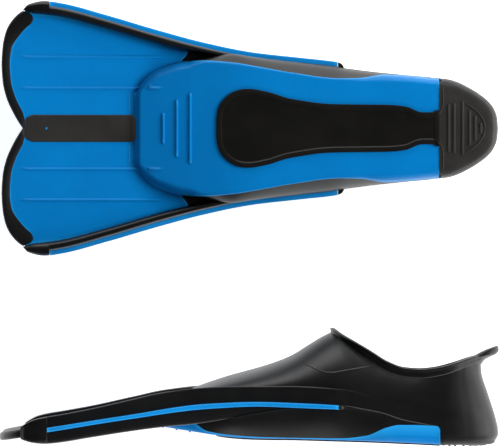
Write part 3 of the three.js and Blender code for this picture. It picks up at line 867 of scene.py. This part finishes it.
# ---------------------------------------------------------------- side rails
@dataclass(frozen=True)
class SideRails:
    """Tall rubber rails along both sides, each with a blue band let into its outer face."""

    start: float = 21.5
    end: float = 311.0
    nose_to: float = 44.4
    nose_dome: float = 1.2
    band_depth: float = 4.3
    band_sunk: float = 0.8
    step: float = 2.2
    band_from: float = 44.5
    band_to: float = 304.2
    # station and reach of the cap's rings
    cap: Line = ((304.3, 4.2), (306.4, 4.0), (308.2, 3.2), (309.6, 1.2))

    def rail_section(self, x: float) -> np.ndarray:
        """The rail's section: a rounded foot, a slightly leaning outer face and a ledge on top."""
        low, high = rail_bottom(x), rail_top(x)
        nose = 1 - smooth(x, self.nose_to - 0.3, self.nose_to + 0.1)
        outer = side_half(x) + self.band_depth * nose - 0.6 * smooth(x, 303, self.end)
        inner = max(rail_inner(x), upper_half(x) - 2.3) if x > 250 else rail_inner(x)
        height, width = high - low, outer - inner
        lip = min(0.5, 0.1 * width)
        foot = [(inner, low + 0.16 * height), (inner + 0.34 * width, low),
                (outer - 0.22 * width, low + 0.015 * height), (outer - 0.1, low + 0.16 * height)]
        ledge = [(outer - lip, low + 0.62 * height), (outer - 2 * lip, high - 0.14 * height),
                 (outer - lip, high - 0.03 * height), (outer - 0.3 * width, high),
                 (inner, high - 0.02 * height)]
        return rounded(foot + ledge, [2.6, 2.6, 1.2, 2.2, 1.6, 0.8, 0.8, 1.2, 1.0], 3)

    def rail(self) -> Skin:
        """One rail, with the small rubber cap behind the band."""
        nose = self.nose_to
        stations = runs((self.start, nose - 0.6, 0.9), (nose - 0.4, nose + 0.2, 0.2),
                        (nose + 1.5, self.end, self.step))
        rings = [ring_at(x, self.rail_section(x)) for x in stations]
        body = loft(domed(rings, self.nose_dome, both_ends=False))
        cap = []
        for x, out in self.cap:
            trim = 0.1 * (self.band_depth - out)
            cap.append(ring_at(x, bar((side_half(x) - 1.5, strip_bottom(x) + trim),
                                      (side_half(x) + out, strip_top(x) - trim), 1.2)))
        return body + loft(cap)

    def band(self) -> Skin:
        """One blue band, standing out of the rail and rounded on its outer side."""
        return loft([ring_at(x, bar((side_half(x) - self.band_sunk, strip_bottom(x)),
                                    (side_half(x) + self.band_depth, strip_top(x)),
                                    [0.2, 1.5, 1.5, 0.2]))
                     for x in spaced(self.band_from, self.band_to - 0.2, self.step)])

    def pieces(self) -> list[Piece]:
        """Both rails and both bands."""
        rails = paired("side_rail", self.rail(), POCKET_RUBBER, Motion.BENDS,
                       "front_rail", "rear_rail")
        bands = paired("edge_band", self.band(), STRIP_BLUE, Motion.BENDS,
                       "front_edge_strip", "rear_edge_strip")
        return [piece for pair in zip(rails, bands) for piece in pair]


# ---------------------------------------------------------------- sole
@dataclass(frozen=True)
class Sole:
    """Blue sole with the toe box's underside, the grip pad let into it and the rubber heel."""

    start: float = 118.6
    end: float = 395.1
    thickness: float = 2.8
    toe_ribs: Line = ((146.7, 14), (159, 26), (171, 32))
    toe_rib_half: float = 0.9
    toe_rib_depth: float = 1.7
    blade_rib: float = 36.5
    blade_rib_depth: float = 1.5
    blade_rib_end: Pair = (138.0, 148.0)
    # lines across the flat underside, close together where a rib or its end lies
    flat: tuple[Span, ...] = (
        (0, 13, 3.2), (13.4, 14, 1), (16, 25, 3), (25.4, 26, 1), (28, 31, 1.5), (31.4, 32, 1),
        (34.6, 38.4, 0.38))
    pad_drop: float = 1.7
    # inset and height of the heel's rings, from its joint with the upper down
    heel_rings: Line = (
        (2.2, 7.0), (2.2, 3.9), (2.6, 3.1), (3.6, 2.3), (5.0, 1.7), (7.0, 1.3), (9.0, 1.15))
    heel_length: float = 52.0
    heel_width: float = 44.0
    treads: Line = (
        (402.6, 21.5), (407.6, 22.5), (415.2, 24.5), (421.5, 15.8), (426.5, 11.4), (431.5, 4.8))
    tread_width: float = 2.4
    tread_edge: Line = ((0, -1.6), (0, -0.5), (0.12, -0.2), (0.45, 0.0))
    tread_arc: Line = (
        (417.6, 23), (422, 20.6), (427, 17), (431.4, 12.4), (434.6, 7.2), (436.2, 2.4), (436.4, 0))
    lip: Line = (
        (397.6, 41), (398.4, 34.5), (398.8, 27.6), (398.4, 20.7), (396.8, 15.6), (394.4, 12.8),
        (391, 11.4))

    def floor(self, x: np.ndarray, y: np.ndarray) -> np.ndarray:
        """Height of the underside, with its toe ribs and the ends of the two inner blade ribs."""
        z = self.bare_floor(x)
        crest, foot = 0.5 * self.toe_rib_half, 1.5 * self.toe_rib_half
        for station, half in self.toe_ribs:
            ridge = 1 - smooth(np.abs(x - station), crest, foot)
            z = z - self.toe_rib_depth * ridge * (1 - smooth(np.abs(y), half - 1.2, half))
        inner_rib = 1 - smooth(np.abs(np.abs(y) - self.blade_rib), 0.4, 1.5)
        return z - self.blade_rib_depth * inner_rib * (1 - smooth(x, *self.blade_rib_end))

    def bare_floor(self, x: Number) -> Number:
        """Height of the underside without ribs: it leaves the blade in a soft step."""
        return sole_z(x) + (blade_z(x) - 1.0 - sole_z(x)) * (1 - smooth(x, self.start - 1.5, 126.5))

    def plate(self) -> Skin:
        """The blue sole, up to the edge that its sides climb to."""
        fine = [(station - 2, station + 2, 0.33) for station, _ in self.toe_ribs]
        stations = grid_lines((self.start, 127, 0.5), (128, 144, 1.6), *fine, (149.5, 156.5, 1.8),
                              (161.7, 168.3, 1.8), (174, 385, 2.4), (386, self.end, 0.7))
        lines = grid_lines(*self.flat)
        outer, inner = [], []
        for x in stations:
            half, lean, edge = sole_half(x), sole_lean(x), sole_edge_z(x)
            low, corner = float(self.bare_floor(x)), half - lean
            flat = lines / lines[-1] * min(lines[-1], corner - 7.0)
            across = np.concatenate([flat, np.linspace(flat[-1], corner - 5.4, 6)[1:]])
            foot = np.column_stack([across, self.floor(np.full_like(across, x), across)])
            wall = rounded([(corner - 5.4, low), (corner, low),
                            (half - 0.35 * lean, low + 0.35 * (edge - low)), (half, edge + 0.01),
                            (half - 1, edge + 1)], [0, 5.0, 2.5, 0, 0])[5:15]
            wall[-1] = half, edge
            profile = np.vstack([foot, wall, [(half - 0.25, edge + 0.15)]])
            outer.append(ring_at(x, profile))
            inward = np.where(np.arange(len(profile)) < len(foot), 0.0, 0.8 * self.thickness)
            top = low + self.thickness
            height = np.clip(profile[:, 1], top, max(edge, top))
            inner.append(ring_at(x, np.column_stack([profile[:, 0] - inward, height])))
        return shell(np.array(outer), np.array(inner)).both_sides()

    def pad(self) -> Skin:
        """The rubber grip pad with a recessed panel that follows its outline."""
        stations = runs((195.2, 200, 0.5), (201, 225, 1.6), (227, 360, 3), (362, 393, 1.6))
        side = np.array([(x, pad_half(x)) for x in stations])
        front = np.array([(194.5, y) for y in np.linspace(-8, 8, 7)])
        rear = np.array([(395.1, y) for y in np.linspace(16, -16, 9)])
        outline = np.vstack([front, side, rear, (side * (1, -1))[::-1]])
        drop = self.pad_drop
        steps = [(0.0, GAP), (0.0, drop - 0.4), (0.15, drop - 0.12), (0.5, drop), (3.9, drop),
                 (4.3, drop - 0.12), (4.9, drop - 0.66), (5.4, drop - 0.86), (6.2, drop - 0.9)]
        skin = inset_slab(outline, steps, sole_z)
        first, count = (len(steps) - 1) * len(outline), len(side)
        left, right = first + len(front), first + len(outline) - 1
        faces = [(left + i, left + i + 1, right - i - 1, right - i) for i in range(count - 1)]
        faces.append((right, *range(first, left + 1)))
        faces.append(tuple(range(left + count - 1, right - count + 2)))
        return Skin(skin.points, skin.faces[:-1] + faces)

    def heel(self) -> Skin:
        """The rubber heel bottom with plain tread bars across it."""
        half = Profile((395, HEEL_HALF), (410.4, 42.3), (421, 37.4), (432, 31), (439.2, 25.2),
                       (444.6, 18.2), (447.6, 9.6))
        back = np.array([(447.3 - 0.012 * y * y, y) for y in np.linspace(8, -8, 9)])
        stations = runs((HEEL_FROM, 430, 2.5), (431.5, 446.6, 1.2))
        side = np.array([(x, half(x) - 1.0) for x in stations])
        front = np.array([(HEEL_FROM, y) for y in np.linspace(-40, 40, 9)])
        outline = np.vstack([front, side, back, (side * (1, -1))[::-1]])
        x, y = outline.T
        body = loft([np.column_stack([HEEL_FROM + (x - HEEL_FROM) * (1 - inset / self.heel_length),
                                      y * (1 - inset / self.heel_width), np.full(len(x), z)])
                     for inset, z in self.heel_rings])
        extras = []
        for station, reach in self.treads:
            tread = bar((station, -reach), (station + self.tread_width, reach), 1.1, 5)
            extras.append(inset_slab(tread, self.tread_edge, np.zeros_like))
        for points, level, radius in ((self.tread_arc, 0.95, 0.7), (self.lip, 1.35, 0.9)):
            line = through(points, 40)
            path = np.column_stack([line, np.full(len(line), level)])
            extras.append(bead(path, radius).both_sides())
        return sum(extras, body)

    def pieces(self) -> list[Piece]:
        """The sole's visible pieces."""
        return [
            Piece("blue_sole", self.plate(), BLADE_BLUE, Motion.POCKET, ("sole_plate",), weld=True),
            Piece("grip_pad", self.pad(), PAD_RUBBER, Motion.POCKET, ("sole_insert",)),
            Piece("heel_bottom", self.heel(), SOLE_RUBBER, Motion.POCKET, ("heel_sole",)),
        ]


# ---------------------------------------------------------------- foot pocket
@dataclass(frozen=True)
class FootPocket:
    """Rubber foot pocket: the upper round the foot, its lower side walls and the flared rim."""

    start: float = 131.0
    open_from: float = 300.0
    wall: float = 2.2
    fullness: float = 1.15
    sharp_deg: float = 50.0
    ledge_from: float = 150.0
    ledge_to: float = 310.5
    rim_edge: int = 5
    rim_cover: float = 1.5
    rim_back: float = 432.6
    rim_run: float = 35.0
    bottom_run: float = 30.0
    heel_blend_from: float = 366.0
    wall_span: Pair = (178.0, 396.0)
    wall_grows: Pair = (180.0, 215.0)
    wall_tucks: Pair = (378.0, 386.0)
    wall_lap: float = 0.4
    wall_depth: float = 3.0
    web_span: Pair = (156.0, 208.0)
    web_depth: float = 1.8
    face_span: Pair = (290.0, 303.0)
    face_steps: tuple[float, ...] = (0, 0.04, 0.1, 0.25, 0.5, 0.75, 0.92, 0.97)
    # extra stations, close together where the foot opening starts
    opening: tuple[float, ...] = (
        298, 299.4, 300, 300.15, 300.5, 301, 302, 303, 304.5, 306.5, 308.5)
    tab_half: float = 17.2
    tab: Line = (
        (-2.4, 73.5), (0.7, 73), (2.8, 77), (7.4, 79.4), (14.4, 82.6), (16.4, 85.8), (15.3, 90.4),
        (6, 87.2), (-0.6, 83.2), (-2.4, 77.5))
    crease: Line = (
        (270, 75.5), (277, 72.9), (285, 69.3), (293, 66.8), (297.5, 66.6), (306, 67.8),
        (316, 69.5), (336, 72.6))
    seam: Line = (
        (303, 36.6), (308, 36.6), (325, 34), (343.5, 30.2), (359.6, 24.6), (380, 20.5), (394, 18.2))
    outline: Line = (
        (HEEL_FROM, HEEL_HALF), (400, 44.8), (405.2, 43.9), (410.4, 42.4), (415.8, 40.2),
        (421, 37.5), (426.6, 34.4), (432, 30.8), (439.2, 25), (444.6, 18), (447.6, 9.4), (448.4, 0))

    def side_profile(self, x: float) -> np.ndarray:
        """Outer profile of the upper beside the foot, from its bottom edge to crown or rim."""
        half, base, bottom = upper_half(x), upper_base(x), upper_bottom(x)
        rise = crown_z(x) - base
        share = min(1.0, (rim_low(x) + self.rim_cover - base) / rise)
        angle = np.linspace(0, math.asin(share ** (1 / self.fullness)), 26)
        arch = np.column_stack([half * np.cos(angle), base + rise * np.sin(angle) ** self.fullness])
        if share == 1.0:
            arch[-1, 0] = 0.0
        face = half + (side_half(x) - 0.1 - half) * smooth(x, *self.face_span)
        levels = bottom + (base - bottom) * np.array(self.face_steps)
        profile = np.vstack([np.column_stack([np.full(len(levels), face), levels]), arch])
        blend = smooth(x, self.heel_blend_from, HEEL_FROM)
        profile[:, 0] += (heel_side(profile[:, 1]) * half / HEEL_HALF - profile[:, 0]) * blend
        return ring_at(x, profile)

    def heel_profile(self, place: np.ndarray, levels: np.ndarray) -> np.ndarray:
        """Outer profile at a place on the heel's outline.

        Args:
            place: (x, y) on the outline near the floor.
            levels: heights of the last profile beside the foot, which these go on from.

        Returns:
            The profile's points.
        """
        reach = (place[0] - HEEL_FROM) / (self.outline[-1][0] - HEEL_FROM)
        low, high = levels[0], levels[-1]
        bottom = upper_bottom(HEEL_FROM + reach * self.bottom_run)
        top = rim_low(HEEL_FROM + reach * self.rim_run) + self.rim_cover
        z = bottom + (levels - low) / (high - low) * (top - bottom)
        x = HEEL_FROM + reach * (heel_back(z) - HEEL_FROM)
        return np.column_stack([x, place[1] * heel_side(z) / HEEL_HALF, z])

    def outer_grid(self) -> np.ndarray:
        """Outer face of one half of the upper: profiles from the toes to the heel's middle."""
        stations = [*spaced(self.start, 296, 2.4), *self.opening, *spaced(311, HEEL_FROM, 2.2)]
        rows = [self.side_profile(x) for x in stations]
        levels = rows[-1][:, 2]
        rows += [self.heel_profile(place, levels) for place in through(self.outline, 44)[1:]]
        rows[-1][:, 1] = 0.0
        return np.array(rows)

    def inner_grid(self, outer: np.ndarray) -> np.ndarray:
        """The upper's inner face: its outer face moved in by the wall."""
        along, across = np.gradient(outer, axis=0), np.gradient(outer, axis=1)
        normal = np.cross(along, across)
        normal /= np.maximum(np.linalg.norm(normal, axis=2, keepdims=True), 1e-9)
        inner = outer + normal * self.wall
        on_centre = np.abs(outer[..., 1]) < ON_CENTRE
        inner[..., 1] = np.where(on_centre, 0.0, np.maximum(inner[..., 1], 0.02))
        return inner

    def raised_line(self, line: Sequence[Pair], radius: float) -> Skin:
        """A bead that follows the upper's outer face.

        Args:
            line: (x, z) of its points.
            radius: half its thickness.

        Returns:
            The bead on both sides of the fin.
        """
        stations = spaced(line[0][0], line[-1][0], 1.5)
        levels = Profile(*line)(stations)
        path = []
        for x, z in zip(stations, levels):
            profile = self.side_profile(x)
            path.append((x, np.interp(z, profile[:, 2], profile[:, 1]) + 0.25, z))
        return bead(np.array(path), radius).both_sides()

    def upper(self) -> Skin:
        """The whole upper."""
        outer = self.outer_grid()
        return shell(outer, self.inner_grid(outer)).both_sides()

    def lines(self) -> Skin:
        """The thin raised lines: instep crease, side seam, rail's ledge, rim's lower edge."""
        stations = spaced(self.ledge_from, self.ledge_to, 2.5)
        ledge = np.array([(x, side_half(x) - 0.7, rail_top(x) - 0.2) for x in stations])
        edge = np.array([ring[self.rim_edge] for ring in self.rim_sections()])
        return (self.raised_line(self.crease, 0.5) + self.raised_line(self.seam, 0.45)
                + bead(ledge, 0.5).both_sides() + bead(edge, 0.45).both_sides())

    def corner(self) -> Skin:
        """The web that closes the corner between toe box, blade and rail."""
        rings = []
        for x in spaced(*self.web_span, 3):
            low = blade_z(x) + 1.4
            high = low + self.web_depth
            section = bar((upper_half(x) - 1.8, low), (rail_inner(x) + 0.6, high), 0.3)
            rings.append(ring_at(x, section))
        return loft(rings)

    def side_wall(self) -> Skin:
        """Lower side between the blue sole's edge and the seam under the rail."""
        outer = []
        for x in spaced(*self.wall_span, 2.6):
            grown, tuck = smooth(x, *self.wall_grows), smooth(x, *self.wall_tucks)
            y0 = sole_half(x) - self.wall_lap - 3.4 * tuck
            z0 = sole_edge_z(x) - self.wall_lap - 6 * tuck
            y1 = y0 + 1.5 + (side_half(x) - 1.65 - 1.4 * tuck - y0) * grown
            z1 = seam_z(x) + 0.3 + 6 * (1 - grown)
            rise = max(z1 - z0, 0.4)
            t = np.linspace(0, 1, 12)
            bulge = 0.3 * min(2.5, 0.12 * rise)
            y = y0 + (y1 - y0) * np.sin(t * math.pi / 2) + bulge * np.sin(t * math.pi)
            outer.append(ring_at(x, np.column_stack([y, z0 + rise * t])))
        outer = np.array(outer)
        return shell(outer, outer - (0, self.wall_depth, 0))

    def rim_sections(self) -> list[np.ndarray]:
        """Rings of one half of the flared rim, from the instep to the pull tab at the back."""
        grid = self.outer_grid()
        opened = grid[(grid[:, 0, 0] > self.open_from + 0.2) | (grid[:, 0, 2] < 10)]
        path = np.vstack([[self.open_from, 0.0, 0.0], opened[:, -1]])
        path[-1, 1] = 0.0
        mirrored = path[1:-1][::-1] * (1, -1, 1)
        loop = np.vstack([path, mirrored])[:, :2]
        tangent = np.roll(loop, -2, 0) - np.roll(loop, 2, 0)
        outward = np.column_stack([-tangent[:, 1], tangent[:, 0]])
        outward /= np.linalg.norm(outward, axis=1, keepdims=True)
        rings = []
        for (x, y, _), out in zip(path, outward[:len(path)]):
            behind = self.rim_run / (self.rim_back - HEEL_FROM)
            station = x if x < HEEL_FROM else HEEL_FROM + (x - HEEL_FROM) * behind
            low, high = rim_low(station), rim_high(station)
            rise = high - low
            front = max(0.0, 1 - (x - self.open_from) / 13)
            rim = np.array([
                (-2.3, low), (1.4 + 1.5 * front, low + 0.2), (1.9 + front, low + 0.3 * rise),
                (2.2 + 0.6 * front, low + 0.62 * rise), (3.3, high - 1.6), (3.2, high - 0.4),
                (1.6, high), (-0.8, high - 0.1), (-1.9, high - 1.2), (-2.3, low + 0.5 * rise)])
            share = max(0.0, 1 - abs(y / self.tab_half) ** 2.4) if x > 400 else 0.0
            section = rounded(rim + (np.array(self.tab) - rim) * share, 1.6, 3)
            place = np.array([x, y]) + np.outer(section[:, 0], out)
            rings.append(np.column_stack([place, section[:, 1]]))
        for ring in (rings[0], rings[-1]):
            ring[:, 1] = 0.0
        return rings

    def rim(self) -> Skin:
        """The whole rim as one loop."""
        half = self.rim_sections()
        return loft(half + [ring * (1, -1, 1) for ring in half[-2:0:-1]], looped=True)

    def pieces(self) -> list[Piece]:
        """The pocket's visible pieces."""
        return [
            Piece("pocket_upper", self.upper(), POCKET_RUBBER, Motion.POCKET,
                  ("vamp", *both("quarter"), "heel_counter"), weld=True, sharp_deg=self.sharp_deg),
            *paired("side_wall", self.side_wall(), POCKET_RUBBER, Motion.POCKET, "side_band"),
            *paired("corner_fill", self.corner(), POCKET_RUBBER, Motion.POCKET, "corner_web"),
            Piece("pocket_rim", self.rim(), POCKET_RUBBER, Motion.POCKET,
                  (*both("collar"), "heel_tab"), sharp_deg=self.sharp_deg),
            # The raised lines wear the paler copy of the pocket rubber: painted highlight.
            Piece("raised_lines", self.lines(), PAINTED_HIGHLIGHT_RUBBER, Motion.POCKET, ()),
        ]


# ---------------------------------------------------------------- studio
@dataclass(frozen=True)
class SoftBox:
    """A large soft light."""

    name: str
    place: tuple[float, float, float]
    size: Pair
    power: float
    shows_in_gloss: bool = True

    def hang(self, target: Vector) -> None:
        """Hangs the light, facing the target."""
        data = bpy.data.lights.new(self.name, "AREA")
        data.shape, data.size, data.size_y = "RECTANGLE", *self.size
        data.energy = self.power
        light = bpy.data.objects.new(self.name, data)
        light.location = self.place
        light.rotation_mode = "QUATERNION"
        light.rotation_quaternion = (target - Vector(self.place)).to_track_quat("-Z", "Y")
        light.visible_camera = False
        light.visible_glossy = self.shows_in_gloss
        bpy.context.scene.collection.objects.link(light)


@dataclass(frozen=True)
class Studio:
    """Pale floor, soft lights and the camera that looks straight down on the pair."""

    lens_mm: float = 800.0
    sensor_mm: float = 36.0
    view_width: float = 0.450
    focus_height: float = 0.1
    world_strength: float = 0.08
    floor_glow: float = 0.7
    floor_reach: float = 30.0
    floor_drop: float = 0.001
    aim_height: float = 0.08
    lights: tuple[SoftBox, ...] = (
        SoftBox("key_heel_side", (1.9, 0.4, 1.35), (1.2, 1.2), 60, shows_in_gloss=False),
        SoftBox("front_matt", (0.2, -1.8, 1.1), (1.6, 0.8), 20, shows_in_gloss=False),
        SoftBox("back_low", (-0.2, 1.9, 0.6), (1.7, 1.0), 22),
        SoftBox("front_low", (0.3, -1.8, 0.5), (1.4, 0.5), 4),
        SoftBox("low_heel", (1.9, -0.2, 0.35), (1.2, 0.5), 9),
    )

    def floor(self) -> None:
        """Makes the plain pale floor."""
        reach = self.floor_reach
        corners = [(-reach, -reach, 0), (reach, -reach, 0), (reach, reach, 0), (-reach, reach, 0)]
        mesh = bpy.data.meshes.new("studio_floor")
        mesh.from_pydata(corners, [], [(0, 1, 2, 3)])
        graph = Graph("studio_floor_paper")
        mottle = graph.ramp(graph.noise(0.4, 3), (0.3, 0.92), (0.7, 0.95))
        shader = graph.add("ShaderNodeBsdfPrincipled", {}, {
            "Base Color": mottle, "Roughness": 0.95, "Specular IOR Level": 0.0,
            "Emission Color": rgb(1, 1, 1), "Emission Strength": self.floor_glow})
        graph.add("ShaderNodeOutputMaterial", {}, {"Surface": shader})
        mesh.materials.append(graph.material)
        floor = bpy.data.objects.new("studio_floor", mesh)
        floor.location.z = -self.floor_drop
        bpy.context.scene.collection.objects.link(floor)

    def world(self) -> None:
        """Lights the scene with an even pale sky."""
        world = bpy.data.worlds.new("studio_air")
        world.use_nodes = True
        sky = world.node_tree.nodes["Background"]
        sky.inputs["Color"].default_value = rgb(1, 1, 1)
        sky.inputs["Strength"].default_value = self.world_strength
        bpy.context.scene.world = world

    def camera(self) -> None:
        """Hangs the camera above the middle of the pair."""
        data = bpy.data.cameras.new("catalogue_camera")
        data.lens, data.sensor_width = self.lens_mm, self.sensor_mm
        camera = bpy.data.objects.new("catalogue_camera", data)
        distance = self.view_width * self.lens_mm / self.sensor_mm
        low, high = CAD_BOX
        camera.location = ((low.x + high.x) / 2, (low.y + high.y) / 2, self.focus_height + distance)
        data.clip_start, data.clip_end = 0.1, 4 * distance
        bpy.context.scene.collection.objects.link(camera)
        bpy.context.scene.camera = camera

    def build(self) -> None:
        """Sets up the whole studio."""
        scene = bpy.context.scene
        scene.view_settings.view_transform = "Standard"
        self.camera()
        self.floor()
        self.world()
        for light in self.lights:
            light.hang(Vector((0, 0, self.aim_height)))


# ---------------------------------------------------------------- the pair
@dataclass(frozen=True)
class CadPart:
    """A CAD node that stays and only gets a finish."""

    node: str
    finish: Rubber

    def dress(self, side: str, material: bpy.types.Material) -> None:
        """Gives the node of one fin its material."""
        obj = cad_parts[f"{side}_fin_{self.node}"]
        for slot in obj.material_slots:
            slot.material = material
        LOG.info("%s: CAD piece dressed", obj.name)


def main() -> None:
    """Builds both fins and the studio."""
    logging.basicConfig(level=logging.INFO, format="%(name)s: %(message)s")
    Studio().build()
    finishes = {finish.name: finish.make() for finish in FINISHES}
    kept = (CadPart("footbed", PAD_RUBBER),)
    for placement in (Placement.sole_up("left"), Placement.on_edge("right")):
        for assembly in (Blade(), SideRails(), Sole(), FootPocket()):
            LOG.info("%s fin, %s", placement.side, type(assembly).__name__)
            for piece in assembly.pieces():
                placement.lay(piece, finishes[piece.finish.name])
        for part in kept:
            part.dress(placement.side, finishes[part.finish.name])


if __name__ == "__main__":
    main()
